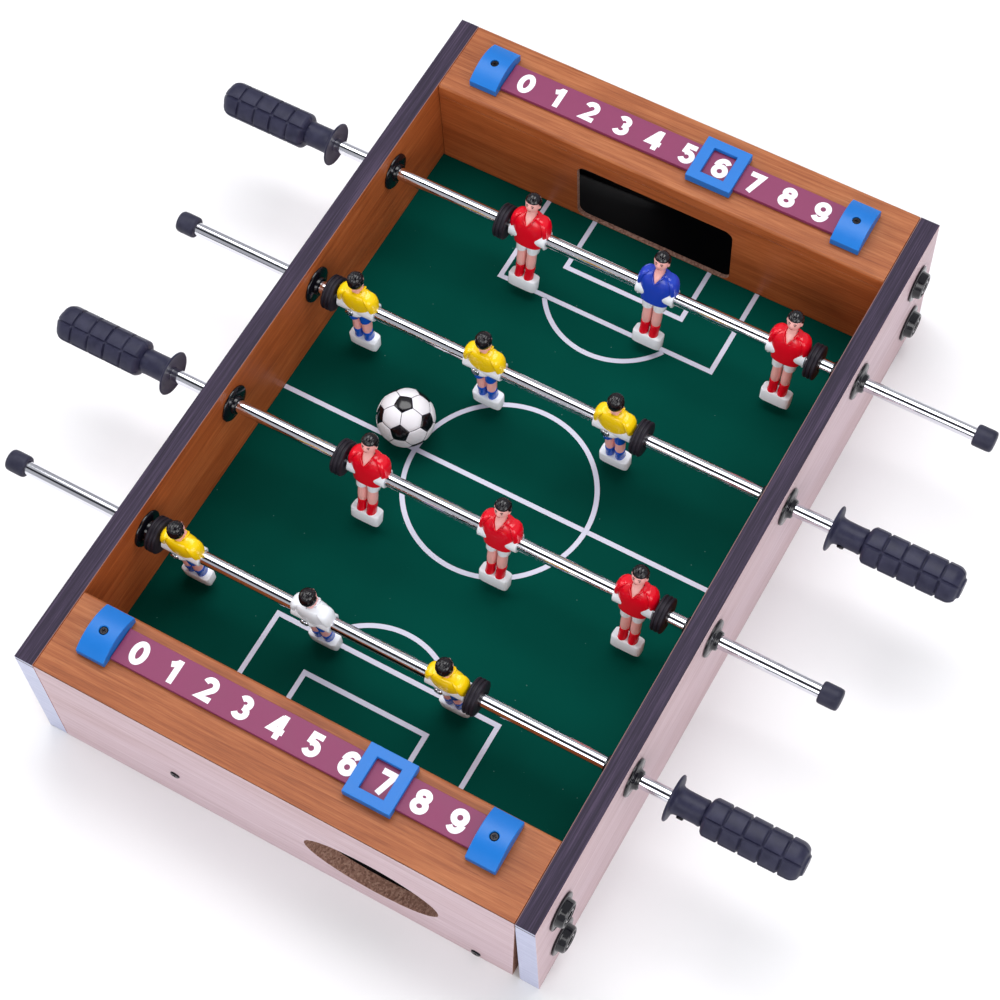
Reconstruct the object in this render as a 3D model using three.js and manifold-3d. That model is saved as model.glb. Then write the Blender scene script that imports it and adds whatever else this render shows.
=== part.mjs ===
// Tabletop foosball table: an open wooden case, a printed pitch, four sliding and spinning rods
// with moulded players, two sliding score counters and a loose ball.
// Millimetres. +X to the right, +Y towards the far goal, +Z up.
// The origin is on the surface that the table stands on, under the middle of the case.

import * as THREE from 'three';
import { mergeVertices } from 'three/addons/utils/BufferGeometryUtils.js';
import Module from 'manifold-3d';

const wasm = await Module();
wasm.setup();

// ---------------------------------------------------------------- driving dimensions

const GAP = 0.3; // between pieces that touch

// Case
const CASE_LENGTH = 484;
const CASE_WIDTH = 320;
const CASE_HEIGHT = 98;
const SIDE_BOARD = 12; // thickness of the two long boards
const END_BOARD = 9; // thickness of the outer end panels and the top boards
const INNER_PANEL = 3; // thickness of the thin panels that hold the goals
const END_BOX = 50.5; // depth of the box at each end of the pitch
const PANEL_RUNOUT = 4.2; // how far the near outer panel's right edge runs out of square

// Pitch
const PITCH_TOP = 28;
const PITCH_BOARD = 4;
const PITCH_GROOVE = 4.5; // depth of the grooves in the side boards that carry the pitch

// Goals and ball outlets
const GOAL_HALF_WIDTH = 52.3;
const GOAL_TOP = 78.3;
const GOAL_CORNER = 6;
const OUTLET_X = 57.6; // to the right of the middle, seen from outside that end
const OUTLET_Z = 39;
const OUTLET_HALF_WIDTH = 42;
const OUTLET_HALF_HEIGHT = 22;

// Ball tray inside each end box
const TRAY_HIGH_Z = 27; // middle of its floor at its high end
const TRAY_LOW_Z = 3.5;
const TRAY_LENGTH = 287;
const TRAY_FLOOR = 3;
const TRAY_LIP = 4;
const TRAY_TAB_X = [60, 76]; // the tab for its upper screw
const TRAY_TAB_Z = [20, 42];

// Rods
const ROD_Z = 77.8;
const ROD_SPACING = 91.2;
const ROD_RADIUS = 4;
const ROD_BORE = 3;
const BORE_CLEARANCE = 0.45; // radial room in pieces that fit on or around a rod
const BUSHING_FLANGE_RADIUS = 11.5;
const BUSHING_FLANGE = 1.6;
const BUSHING_BARREL_RADIUS = 7;
const BUSHING_HOLE_RADIUS = 7.3; // in the side board
const BUSHING_HUB_RADIUS = 5.4;
const BUSHING_HUB_OUT = 5; // how far it stands out of the board's outer face
const BUSHING_HUB_IN = 4;

// What each rod carries, measured from the middle player
const PLAYER_SPACING = 85;
const BUMPER_AT = 102;
const BUMPER_WIDTH = 7;
const BUMPER_RADIUS = 10.9;
const HANDLE_LENGTH = 78.5;
const HANDLE_BORE_DEPTH = 62;
const CAP_LENGTH = 12;
const CAP_RADIUS = 6.5;
const CAP_BORE_DEPTH = 9;

// Players, measured from the rod's axis
const FOOT_BOTTOM = -43.8;
const FOOT_TOP = -34.2;
const FOOT_HALF_WIDTH = 9.4;
const FOOT_HALF_DEPTH = 4.4;
const HEAD_CENTRE = [0, -1.3, 25.1]; // the head is carried a little forward
const HEAD_SIZE = [4.9, 5.5, 6.2];
const BODY_HALF_DEPTH = 5.5;
const BOSS_RADIUS = 5.8;
const BOSS_HALF_LENGTH = 12.4;

// Score counters
const SCORE_X = -2;
const SCORE_Y_FAR = 216;
const SCORE_Y_NEAR = -209;
const STRIP_HALF_LENGTH = 110.7;
const STRIP_WIDTH = 20;
const STRIP_THICK = 2.5;
const SCORE_BLOCK_WIDTH = 18;
const SCORE_BLOCK_DEPTH = 31;
const SCORE_BLOCK_EDGE = 4.5; // height of the block's ends
const SCORE_BLOCK_RISE = 5; // how far its top arches above its ends
const SCORE_SCREW_RADIUS = 2.6;
const SLIDER_WIDTH = 29;
const SLIDER_DEPTH = 31;
const SLIDER_TOP = 3;
const SLIDER_WINDOW_WIDTH = 15;
const SLIDER_WINDOW_DEPTH = 19;
const FAR_SLIDER_X = 29.3; // over the digit 6
const NEAR_SLIDER_X = 50; // over the digit 7

// Ball
const BALL_RADIUS = 17.5;
const BALL_X = -66.5;
const BALL_Y = 7.6;

// ---------------------------------------------------------------- derived places

const CASE_HALF_WIDTH = CASE_WIDTH / 2;
const CASE_HALF_LENGTH = CASE_LENGTH / 2;
const INNER_X = CASE_HALF_WIDTH - SIDE_BOARD; // inner face of a side board
const FIT_X = INNER_X - GAP; // half width of what fits between the side boards
const PITCH_END_Y = CASE_HALF_LENGTH - END_BOX;
const PANEL_INNER_Y = CASE_HALF_LENGTH - END_BOARD;
const TOP_BOARD_Z = CASE_HEIGHT - END_BOARD;
const HOLE_RADIUS = ROD_RADIUS + BORE_CLEARANCE;
const STRIP_Z = CASE_HEIGHT + GAP;

// Each rod from the far end: its place, how far it is slid, its players' tilt and its team.
// A positive tilt swings the feet towards +Y. handleSide is -1 for the left and 1 for the right.
// handleAt and capAt are the inner faces of the handle and the cap, from the middle player.
const RODS = [
  { name: 'red_keeper', row: 1.5, slid: 30.7, tiltDeg: -14.3, handleSide: -1,
    handleAt: 219.2, capAt: 202.1,
    players: ['red_defender_left', 'red_goalkeeper', 'red_defender_right'] },
  { name: 'yellow_forward', row: 0.5, slid: -33.3, tiltDeg: 1.3, handleSide: 1,
    handleAt: 221.8, capAt: 197.7,
    players: ['yellow_forward_left', 'yellow_forward_middle', 'yellow_forward_right'] },
  { name: 'red_forward', row: -0.5, slid: 28.3, tiltDeg: -12.6, handleSide: -1,
    handleAt: 216.8, capAt: 196.9,
    players: ['red_forward_left', 'red_forward_middle', 'red_forward_right'] },
  { name: 'yellow_keeper', row: -1.5, slid: -37.3, tiltDeg: 6.3, handleSide: 1,
    handleAt: 221, capAt: 191.2,
    players: ['yellow_defender_left', 'yellow_goalkeeper', 'yellow_defender_right'] },
];

const SHIRTS = {
  red: 0xd8101c,
  red_goalkeeper: 0x1a3fc0,
  yellow: 0xf2cf1c,
  yellow_goalkeeper: 0xf0f0f2,
};

// ---------------------------------------------------------------- materials

function material(color, roughness, metalness = 0) {
  return new THREE.MeshStandardMaterial({ color, roughness, metalness });
}

const wood = material(0xa8602f, 0.55);
const sideWood = material(0x8c5a38, 0.6);
const laminate = material(0xdcc7cd, 0.6);
const green = material(0x04463a, 0.7);
const blackPlastic = material(0x17171c, 0.3);
const blackRubber = material(0x26262e, 0.75);
const chrome = material(0xd8dade, 0.12, 1);
const plum = material(0x96486f, 0.45);
const blue = material(0x2a86e0, 0.3);
const white = material(0xf2f2f6, 0.3);

// ---------------------------------------------------------------- helpers

// A closed geometry as a solid that can be joined and cut.
function solidOf(geometry) {
  const plain = geometry.clone();
  plain.deleteAttribute('normal');
  plain.deleteAttribute('uv');
  const merged = mergeVertices(plain, 1e-4);
  const index = merged.index.array;
  const triangles = [];
  for (let i = 0; i < index.length; i += 3) {
    const [a, b, c] = [index[i], index[i + 1], index[i + 2]];
    if (a !== b && b !== c && c !== a) triangles.push(a, b, c);
  }
  return new wasm.Manifold(new wasm.Mesh({
    numProp: 3,
    vertProperties: new Float32Array(merged.attributes.position.array),
    triVerts: new Uint32Array(triangles),
  }));
}

function geometryOf(solid) {
  const mesh = solid.getMesh();
  const geometry = new THREE.BufferGeometry();
  geometry.setAttribute('position', new THREE.BufferAttribute(mesh.vertProperties, 3));
  geometry.setIndex(new THREE.BufferAttribute(mesh.triVerts, 1));
  return geometry;
}

function join(...geometries) {
  const [first, ...rest] = geometries.map(solidOf);
  return geometryOf(rest.reduce((whole, next) => whole.add(next), first));
}

function cut(body, ...tools) {
  return geometryOf(tools.map(solidOf).reduce((whole, tool) => whole.subtract(tool), solidOf(body)));
}

// A box from one corner to the opposite one.
function block(low, high) {
  const size = high.map((value, i) => value - low[i]);
  const middle = high.map((value, i) => (value + low[i]) / 2);
  return new THREE.BoxGeometry(...size).translate(...middle);
}

// A shape drawn in (y, z), extruded along X.
function prismAlongX(shape, fromX, toX, steps = 12) {
  const flat = new THREE.ExtrudeGeometry(shape, {
    depth: toX - fromX, bevelEnabled: false, curveSegments: steps,
  });
  const turn = new THREE.Matrix4().makeBasis(
    new THREE.Vector3(0, 1, 0), new THREE.Vector3(0, 0, 1), new THREE.Vector3(1, 0, 0));
  return flat.applyMatrix4(turn).translate(fromX, 0, 0);
}

// A shape drawn in (x, z), extruded along Y.
function prismAlongY(shape, fromY, toY, steps = 12) {
  const flat = new THREE.ExtrudeGeometry(shape, {
    depth: toY - fromY, bevelEnabled: false, curveSegments: steps,
  });
  const turn = new THREE.Matrix4().makeBasis(
    new THREE.Vector3(1, 0, 0), new THREE.Vector3(0, 0, 1), new THREE.Vector3(0, -1, 0));
  return flat.applyMatrix4(turn).translate(0, toY, 0);
}

function polygon(points) {
  return new THREE.Shape(points.map(([u, v]) => new THREE.Vector2(u, v)));
}

// A profile of [along, radius] points, turned about the X axis.
function turned(profile, segments) {
  const points = profile.map(([along, radius]) => new THREE.Vector2(radius, along));
  return new THREE.LatheGeometry(points, segments).rotateZ(-Math.PI / 2);
}

function cylinderAlongX(radius, fromX, toX, segments = 16) {
  return new THREE.CylinderGeometry(radius, radius, toX - fromX, segments)
    .rotateZ(-Math.PI / 2)
    .translate((fromX + toX) / 2, 0, 0);
}

function cylinderAlongZ(radius, fromZ, toZ, segments = 12) {
  return new THREE.CylinderGeometry(radius, radius, toZ - fromZ, segments)
    .rotateX(Math.PI / 2)
    .translate(0, 0, (fromZ + toZ) / 2);
}

const table = new THREE.Group();

function place(name, geometry, look, parent = table) {
  const mesh = new THREE.Mesh(geometry, look);
  mesh.name = name;
  parent.add(mesh);
  return mesh;
}

// ---------------------------------------------------------------- case

function sideBoard(side) {
  const low = Math.min(side * INNER_X, side * CASE_HALF_WIDTH);
  const board = block([low, -CASE_HALF_LENGTH, 0], [low + SIDE_BOARD, CASE_HALF_LENGTH, CASE_HEIGHT]);
  const holes = RODS.map(rod => cylinderAlongX(BUSHING_HOLE_RADIUS, low - 1, low + SIDE_BOARD + 1)
    .translate(0, rod.row * ROD_SPACING, ROD_Z));
  const grooveX = [side * (INNER_X - 1), side * (INNER_X + PITCH_GROOVE)];
  const groove = block(
    [Math.min(...grooveX), -PITCH_END_Y, PITCH_TOP - PITCH_BOARD - GAP],
    [Math.max(...grooveX), PITCH_END_Y, PITCH_TOP + GAP]);
  return cut(board, ...holes, groove);
}

// The end pieces are made for the far end, and turned half a turn for the near end.

// A mitred board: orange on top, meeting the outer panel at the outer top corner.
function topBoard() {
  const edge = 2; // radius of the rounded inner edge
  const profile = new THREE.Shape();
  profile.moveTo(PANEL_INNER_Y - GAP, TOP_BOARD_Z);
  profile.lineTo(CASE_HALF_LENGTH - GAP, CASE_HEIGHT);
  profile.lineTo(PITCH_END_Y + edge, CASE_HEIGHT);
  profile.absarc(PITCH_END_Y + edge, CASE_HEIGHT - edge, edge, Math.PI / 2, Math.PI);
  profile.lineTo(PITCH_END_Y, TOP_BOARD_Z);
  return prismAlongX(profile, -FIT_X, FIT_X, 4);
}

// runout narrows the panel's lower corner at low X, which is the near panel's right corner.
function outerPanel(runout) {
  const board = prismAlongX(polygon([
    [PANEL_INNER_Y, 0],
    [CASE_HALF_LENGTH, 0],
    [CASE_HALF_LENGTH, CASE_HEIGHT - GAP],
    [PANEL_INNER_Y, TOP_BOARD_Z - GAP],
  ]), -FIT_X, FIT_X);
  const outlet = new THREE.Shape();
  outlet.absellipse(-OUTLET_X, OUTLET_Z, OUTLET_HALF_WIDTH, OUTLET_HALF_HEIGHT, 0, Math.PI * 2);
  const hole = prismAlongY(outlet, PANEL_INNER_Y - 1, CASE_HALF_LENGTH + 1, 16);
  if (!runout) return cut(board, hole);
  const wedge = prismAlongY(polygon([
    [-FIT_X - 1, -1],
    [-FIT_X + runout, -1],
    [-FIT_X, CASE_HEIGHT - END_BOARD],
    [-FIT_X - 1, CASE_HEIGHT - END_BOARD],
  ]), PANEL_INNER_Y - 1, CASE_HALF_LENGTH + 1);
  return cut(board, hole, wedge);
}

function roundedRectangle(lowU, lowV, highU, highV, radius) {
  const shape = new THREE.Shape();
  shape.absarc(highU - radius, lowV + radius, radius, -Math.PI / 2, 0);
  shape.absarc(highU - radius, highV - radius, radius, 0, Math.PI / 2);
  shape.absarc(lowU + radius, highV - radius, radius, Math.PI / 2, Math.PI);
  shape.absarc(lowU + radius, lowV + radius, radius, Math.PI, Math.PI * 1.5);
  return shape;
}

function innerPanel() {
  const back = PITCH_END_Y + INNER_PANEL;
  const board = block([-FIT_X, PITCH_END_Y, 0], [FIT_X, back, TOP_BOARD_Z - GAP]);
  const goal = roundedRectangle(-GOAL_HALF_WIDTH, PITCH_TOP, GOAL_HALF_WIDTH, GOAL_TOP, GOAL_CORNER);
  return cut(board, prismAlongY(goal, PITCH_END_Y - 1, back + 1, 4));
}

// A sloping floor that leads the ball to the outlet. It is screwed to the outer panel through
// a tab near its high end and the low lip along its edge.
function ballTray() {
  const highX = FIT_X - GAP;
  const lowX = highX - TRAY_LENGTH;
  const strip = (under, over) => polygon([
    [lowX, TRAY_LOW_Z + under],
    [highX, TRAY_HIGH_Z + under],
    [highX, TRAY_HIGH_Z + over],
    [lowX, TRAY_LOW_Z + over],
  ]);
  const innerY = PITCH_END_Y + INNER_PANEL + GAP;
  const outerY = PANEL_INNER_Y - GAP;
  const half = TRAY_FLOOR / 2;
  const tab = block(
    [TRAY_TAB_X[0], outerY - TRAY_FLOOR, TRAY_TAB_Z[0]],
    [TRAY_TAB_X[1], outerY, TRAY_TAB_Z[1]]);
  return join(
    prismAlongY(strip(-half, half), innerY, outerY),
    prismAlongY(strip(-half, half + TRAY_LIP), outerY - TRAY_FLOOR, outerY),
    tab);
}

function pitchBoard() {
  const halfX = INNER_X + PITCH_GROOVE - GAP;
  const halfY = PITCH_END_Y - GAP;
  return block([-halfX, -halfY, PITCH_TOP - PITCH_BOARD], [halfX, halfY, PITCH_TOP]);
}

place('left_side_board', sideBoard(-1), sideWood);
place('right_side_board', sideBoard(1), sideWood);
place('pitch_board', pitchBoard(), green);
for (const end of ['far', 'near']) {
  const half = end === 'near' ? Math.PI : 0;
  place(`${end}_top_board`, topBoard(), wood).rotation.z = half;
  place(`${end}_outer_panel`, outerPanel(end === 'near' ? PANEL_RUNOUT : 0), laminate).rotation.z = half;
  place(`${end}_goal_panel`, innerPanel(), wood).rotation.z = half;
  place(`${end}_ball_tray`, ballTray(), blackPlastic).rotation.z = half;
}

// ---------------------------------------------------------------- score counters

// Arched block that holds down one end of the strip, with a hole for its screw.
function scoreBlock() {
  const half = SCORE_BLOCK_DEPTH / 2;
  const arch = new THREE.Shape();
  arch.moveTo(-half, 0);
  arch.lineTo(half, 0);
  arch.lineTo(half, SCORE_BLOCK_EDGE);
  arch.quadraticCurveTo(0, SCORE_BLOCK_EDGE + 2 * SCORE_BLOCK_RISE, -half, SCORE_BLOCK_EDGE);
  const body = prismAlongX(arch, -SCORE_BLOCK_WIDTH / 2, SCORE_BLOCK_WIDTH / 2, 8);
  const top = SCORE_BLOCK_EDGE + SCORE_BLOCK_RISE;
  return cut(body, cylinderAlongZ(SCORE_SCREW_RADIUS, -1, top + 1));
}

// A frame that straddles the strip: a top with a window, and a lip down each side.
function scoreSlider() {
  const halfX = SLIDER_WIDTH / 2;
  const halfY = SLIDER_DEPTH / 2;
  const roof = STRIP_THICK + GAP;
  const body = block([-halfX, -halfY, GAP], [halfX, halfY, roof + SLIDER_TOP]);
  const channelY = STRIP_WIDTH / 2 + GAP;
  const channel = block([-halfX - 1, -channelY, 0], [halfX + 1, channelY, roof]);
  const window = block(
    [-SLIDER_WINDOW_WIDTH / 2, -SLIDER_WINDOW_DEPTH / 2, 0],
    [SLIDER_WINDOW_WIDTH / 2, SLIDER_WINDOW_DEPTH / 2, roof + SLIDER_TOP + 1]);
  return cut(body, channel, window);
}

const COUNTERS = [
  { end: 'far', y: SCORE_Y_FAR, sliderX: FAR_SLIDER_X },
  { end: 'near', y: SCORE_Y_NEAR, sliderX: NEAR_SLIDER_X },
];
const STRIP_SIZE = [2 * STRIP_HALF_LENGTH, STRIP_WIDTH, STRIP_THICK];

for (const { end, y, sliderX } of COUNTERS) {
  place(`${end}_score_strip`, new THREE.BoxGeometry(...STRIP_SIZE), plum)
    .position.set(SCORE_X, y, STRIP_Z + STRIP_THICK / 2);
  const blockX = STRIP_HALF_LENGTH + GAP + SCORE_BLOCK_WIDTH / 2;
  place(`${end}_score_block_left`, scoreBlock(), blue).position.set(SCORE_X - blockX, y, STRIP_Z);
  place(`${end}_score_block_right`, scoreBlock(), blue).position.set(SCORE_X + blockX, y, STRIP_Z);
  place(`${end}_score_slider`, scoreSlider(), blue).position.set(sliderX, y, STRIP_Z);
}

// ---------------------------------------------------------------- rods

// A spool through a side board, with a flange on each face. out is the distance from the
// board's middle towards the outside of the case.
function bushing() {
  const face = SIDE_BOARD / 2 + GAP;
  const rim = face + BUSHING_FLANGE;
  const hubOut = SIDE_BOARD / 2 + BUSHING_HUB_OUT;
  const hubIn = SIDE_BOARD / 2 + BUSHING_HUB_IN;
  return turned([
    [-hubIn, HOLE_RADIUS],
    [-hubIn, BUSHING_HUB_RADIUS],
    [-rim, BUSHING_HUB_RADIUS],
    [-rim, BUSHING_FLANGE_RADIUS],
    [-face, BUSHING_FLANGE_RADIUS],
    [-face, BUSHING_BARREL_RADIUS],
    [face, BUSHING_BARREL_RADIUS],
    [face, BUSHING_FLANGE_RADIUS],
    [rim, BUSHING_FLANGE_RADIUS],
    [rim, BUSHING_HUB_RADIUS],
    [hubOut, BUSHING_HUB_RADIUS],
    [hubOut, HOLE_RADIUS],
    [-hubIn, HOLE_RADIUS],
  ], 10);
}

function bumper() {
  const half = BUMPER_WIDTH / 2;
  const chamfer = 1;
  return turned([
    [-half, HOLE_RADIUS],
    [-half, BUMPER_RADIUS - chamfer],
    [-half + chamfer, BUMPER_RADIUS],
    [half - chamfer, BUMPER_RADIUS],
    [half, BUMPER_RADIUS - chamfer],
    [half, HOLE_RADIUS],
    [-half, HOLE_RADIUS],
  ], 12);
}

// Grip with a flange, a neck and five rounded rings. It starts at 0 and points along +X.
function handle() {
  const flangeRadius = 13.6;
  const flange = 2;
  const neckRadius = 7.7;
  const gripStart = 18;
  const rings = 5;
  const ringLength = 11.6;
  const ringRadius = 11.5;
  const grooveRadius = 10;
  const shoulder = 1.6;
  const profile = [
    [HANDLE_BORE_DEPTH, 0],
    [HANDLE_BORE_DEPTH, HOLE_RADIUS],
    [0, HOLE_RADIUS],
    [0, flangeRadius],
    [flange, flangeRadius],
    [flange, neckRadius],
    [gripStart - 1, neckRadius],
  ];
  for (let i = 0; i < rings; i += 1) {
    const start = gripStart + i * ringLength;
    profile.push([start, grooveRadius]);
    profile.push([start + shoulder, ringRadius]);
    profile.push([start + ringLength - shoulder, ringRadius]);
  }
  profile.push([HANDLE_LENGTH, 5]);
  profile.push([HANDLE_LENGTH, 0]);
  return turned(profile, 10);
}

// Blind cap. It starts at 0 and points along +X.
function endCap() {
  return turned([
    [CAP_BORE_DEPTH, 0],
    [CAP_BORE_DEPTH, HOLE_RADIUS],
    [0, HOLE_RADIUS],
    [0, CAP_RADIUS],
    [CAP_LENGTH - 1.2, CAP_RADIUS],
    [CAP_LENGTH, CAP_RADIUS - 1.2],
    [CAP_LENGTH, 0],
  ], 12);
}

function rodTube(from, to) {
  return turned([
    [from, ROD_BORE],
    [from, ROD_RADIUS],
    [to, ROD_RADIUS],
    [to, ROD_BORE],
    [from, ROD_BORE],
  ], 16);
}

// A player seen from the front, in (x, z) from the rod's axis: the right half of the outline.
const PLAYER_HALF_OUTLINE = [
  [3, 20],
  [3.6, 15.6],
  [8.5, 14.6],
  [11.6, 12],
  [13.1, 6],
  [13.1, 2.5],
  [12.6, 1.5],
  [12.4, -5],
  [11, -7],
  [7.5, -7.5],
  [7.5, -13],
  [6.3, -14],
  [6.3, FOOT_TOP - 1],
];

function player() {
  const right = PLAYER_HALF_OUTLINE;
  const left = [...right].reverse().map(([x, z]) => [-x, z]);
  const outline = polygon([...right, ...left].reverse());
  const body = prismAlongY(outline, -BODY_HALF_DEPTH, BODY_HALF_DEPTH);
  const head = new THREE.SphereGeometry(1, 8, 6)
    .rotateX(Math.PI / 2)
    .scale(...HEAD_SIZE)
    .translate(...HEAD_CENTRE);
  const boss = cylinderAlongX(BOSS_RADIUS, -BOSS_HALF_LENGTH, BOSS_HALF_LENGTH, 8);
  const foot = block(
    [-FOOT_HALF_WIDTH, -FOOT_HALF_DEPTH, FOOT_BOTTOM],
    [FOOT_HALF_WIDTH, FOOT_HALF_DEPTH, FOOT_TOP]);
  const bore = cylinderAlongX(HOLE_RADIUS, -BOSS_HALF_LENGTH - 1, BOSS_HALF_LENGTH + 1, 10);
  return cut(join(body, head, boss, foot), bore);
}

function shirtColor(name) {
  return SHIRTS[name] ?? SHIRTS[name.split('_')[0]];
}

for (const rod of RODS) {
  const y = rod.row * ROD_SPACING;
  for (const [sideName, side] of [['left', -1], ['right', 1]]) {
    const spool = place(`${rod.name}_bushing_${sideName}`, bushing(), blackPlastic);
    spool.position.set(side * (CASE_HALF_WIDTH - SIDE_BOARD / 2), y, ROD_Z);
    spool.rotation.z = side < 0 ? Math.PI : 0;
  }

  const slid = new THREE.Group();
  slid.position.set(rod.slid, y, ROD_Z);
  table.add(slid);
  place(`${rod.name}_bumper_left`, bumper(), blackRubber, slid).position.x = -BUMPER_AT;
  place(`${rod.name}_bumper_right`, bumper(), blackRubber, slid).position.x = BUMPER_AT;

  const handleEnd = rod.handleAt + HANDLE_BORE_DEPTH - GAP;
  const capEnd = rod.capAt + CAP_BORE_DEPTH - GAP;
  const tube = rod.handleSide > 0 ? rodTube(-capEnd, handleEnd) : rodTube(-handleEnd, capEnd);
  place(`${rod.name}_rod`, tube, chrome, slid);

  const grip = place(`${rod.name}_handle`, handle(), blackRubber, slid);
  grip.position.x = rod.handleSide * rod.handleAt;
  grip.rotation.z = rod.handleSide < 0 ? Math.PI : 0;
  const cap = place(`${rod.name}_end_cap`, endCap(), blackRubber, slid);
  cap.position.x = -rod.handleSide * rod.capAt;
  cap.rotation.z = rod.handleSide > 0 ? Math.PI : 0;

  // Red faces the near goal and yellow the far one.
  const facing = rod.name.startsWith('red') ? 0 : Math.PI;
  rod.players.forEach((name, i) => {
    const figure = place(name, player(), material(shirtColor(name), 0.35), slid);
    figure.position.x = (i - 1) * PLAYER_SPACING;
    figure.rotation.order = 'XZY';
    figure.rotation.set(THREE.MathUtils.degToRad(rod.tiltDeg), 0, facing);
  });
}

// ---------------------------------------------------------------- ball

place('ball', new THREE.SphereGeometry(BALL_RADIUS, 14, 10), white)
  .position.set(BALL_X, BALL_Y, PITCH_TOP + GAP + BALL_RADIUS);

export default table;
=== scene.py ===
"""Looks for the tabletop foosball table: shapes, materials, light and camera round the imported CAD."""

import math

import bmesh
import bpy
from mathutils import Matrix, Vector


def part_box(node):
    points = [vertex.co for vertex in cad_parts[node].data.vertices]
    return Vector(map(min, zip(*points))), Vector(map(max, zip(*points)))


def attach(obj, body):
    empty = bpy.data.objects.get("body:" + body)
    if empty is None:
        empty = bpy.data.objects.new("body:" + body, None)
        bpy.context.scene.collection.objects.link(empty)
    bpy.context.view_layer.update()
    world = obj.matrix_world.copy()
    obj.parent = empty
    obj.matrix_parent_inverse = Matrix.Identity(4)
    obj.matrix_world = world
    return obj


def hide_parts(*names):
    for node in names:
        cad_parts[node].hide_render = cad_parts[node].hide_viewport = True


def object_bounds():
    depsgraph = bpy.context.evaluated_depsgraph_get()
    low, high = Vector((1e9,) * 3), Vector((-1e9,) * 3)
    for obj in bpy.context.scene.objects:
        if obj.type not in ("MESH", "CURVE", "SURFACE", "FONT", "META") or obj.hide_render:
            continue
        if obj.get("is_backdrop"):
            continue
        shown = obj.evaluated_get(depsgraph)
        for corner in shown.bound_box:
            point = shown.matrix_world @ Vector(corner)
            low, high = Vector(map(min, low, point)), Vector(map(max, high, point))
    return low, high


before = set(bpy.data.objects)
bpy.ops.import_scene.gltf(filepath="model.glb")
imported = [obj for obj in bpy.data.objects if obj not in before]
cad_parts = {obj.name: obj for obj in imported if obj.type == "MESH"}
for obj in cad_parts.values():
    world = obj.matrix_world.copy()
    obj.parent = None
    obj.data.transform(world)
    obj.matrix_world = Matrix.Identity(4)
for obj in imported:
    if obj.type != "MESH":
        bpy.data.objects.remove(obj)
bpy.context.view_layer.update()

MM = 0.001

# ---------------------------------------------------------------- camera, light and floor

CAMERA_PLACE = (0.3549, -0.5432, 1.2747)
CAMERA_RIGHT = (0.87056, 0.49091, -0.03367)
CAMERA_DOWN = (0.42351, -0.78236, -0.45668)
CAMERA_AHEAD = (-0.25053, 0.38331, -0.88899)
CAMERA_LENS = 86.6
SENSOR = 36


def add_camera():
    data = bpy.data.cameras.new("camera")
    data.sensor_width = SENSOR
    data.lens = CAMERA_LENS
    data.clip_start = 0.01
    camera = bpy.data.objects.new("camera", data)
    bpy.context.scene.collection.objects.link(camera)
    turn = Matrix((CAMERA_RIGHT, [-v for v in CAMERA_DOWN], [-v for v in CAMERA_AHEAD])).transposed()
    camera.matrix_world = Matrix.Translation(CAMERA_PLACE) @ turn.to_4x4()
    bpy.context.scene.camera = camera


def add_area_light(name, place, aim, size, power):
    data = bpy.data.lights.new(name, "AREA")
    data.shape = "RECTANGLE"
    data.size, data.size_y = size
    data.energy = power
    light = bpy.data.objects.new(name, data)
    bpy.context.scene.collection.objects.link(light)
    light.location = place
    light.rotation_mode = "QUATERNION"
    light.rotation_quaternion = (Vector(aim) - Vector(place)).to_track_quat("-Z", "Y")


# The room by its lean from overhead towards +Y, in radians plus LEAN_SHIFT: the dark band between
# the lights is what puts the dark stripe along the polished rods.
LEAN_SHIFT = 1
ROOM_STRENGTH = 0.5
PALE_ROOM = (0.93, 0.95, 1, 1)
DARK_ROOM = (0.02, 0.02, 0.03, 1)
DARK_BAND = [(0.34, PALE_ROOM), (0.4, DARK_ROOM), (0.84, DARK_ROOM), (0.9, PALE_ROOM)]


def add_world():
    world = bpy.data.worlds.new("studio")
    world.use_nodes = True
    background = world.node_tree.nodes["Background"]
    background.inputs["Strength"].default_value = ROOM_STRENGTH
    nodes, links = world.node_tree.nodes, world.node_tree.links
    direction = nodes.new("ShaderNodeTexCoord")
    parts = nodes.new("ShaderNodeSeparateXYZ")
    links.new(direction.outputs["Generated"], parts.inputs["Vector"])
    lean = nodes.new("ShaderNodeMath")
    lean.operation = "ARCTAN2"
    links.new(parts.outputs["Y"], lean.inputs[0])
    links.new(parts.outputs["Z"], lean.inputs[1])
    bands = nodes.new("ShaderNodeValToRGB")
    stops = bands.color_ramp.elements
    for _ in range(len(DARK_BAND) - len(stops)):
        stops.new(1)
    for stop, (turn, colour) in zip(stops, DARK_BAND):
        stop.position = turn
        stop.color = colour
    shifted = nodes.new("ShaderNodeMath")
    shifted.operation = "ADD"
    shifted.inputs[1].default_value = LEAN_SHIFT
    links.new(lean.outputs[0], shifted.inputs[0])
    links.new(shifted.outputs[0], bands.inputs["Fac"])
    links.new(bands.outputs["Color"], background.inputs["Color"])
    bpy.context.scene.world = world


FLOOR_REACH = 12
FLOOR_COLOUR = (0.9, 0.9, 0.91, 1)
FLOOR_ROUGHNESS = 0.9


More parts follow.
